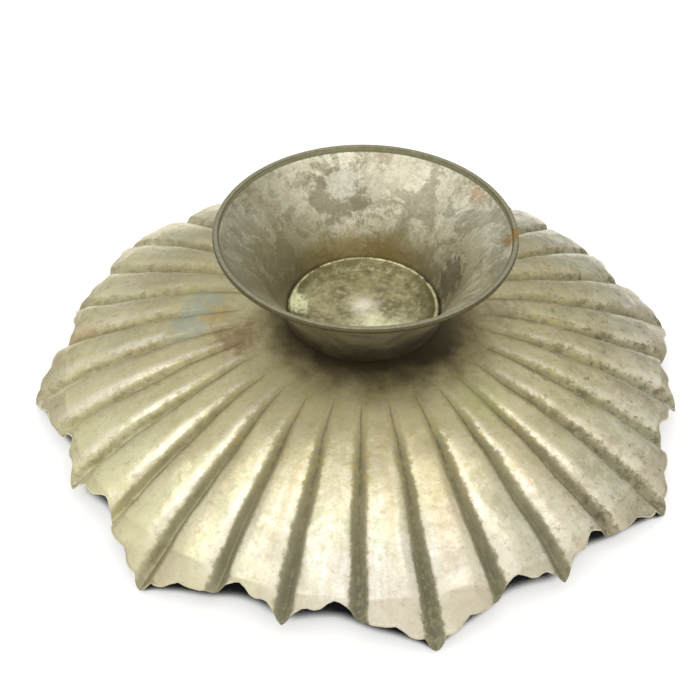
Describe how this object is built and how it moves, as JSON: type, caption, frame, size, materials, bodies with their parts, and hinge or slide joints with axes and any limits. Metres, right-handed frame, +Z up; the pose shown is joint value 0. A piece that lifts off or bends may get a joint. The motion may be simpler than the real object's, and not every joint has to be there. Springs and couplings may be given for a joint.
{
  "type": "footed dish",
  "caption": "Shallow round metal dish with radial flutes and a scalloped cut rim, on a flared trumpet foot, stored upside down on its rim.",
  "frame": {"origin": "on the floor under the dish's round axis, with the dish upside down on the eight long tips of its rim as pictured", "axes": "+Z is up as pictured, along the round axis and out of the foot, so it points down when the dish stands on its foot in use; +X, -X, +Y and -Y each pass through a long tip of the rim"},
  "size_m": [0.25, 0.25, 0.0682],
  "materials": {
    "tarnished_plate": "old silver plate over brass, rubbed and tarnished olive to grey",
    "bright_joint": "rubbed bright on the ridge of the joint, tarnished at its foot"
  },
  "bodies": {
    "root": {"fluted_bowl": "tarnished_plate", "foot": "tarnished_plate", "foot_wire": "tarnished_plate", "neck_ring": "bright_joint"}
  },
  "joints": []
}
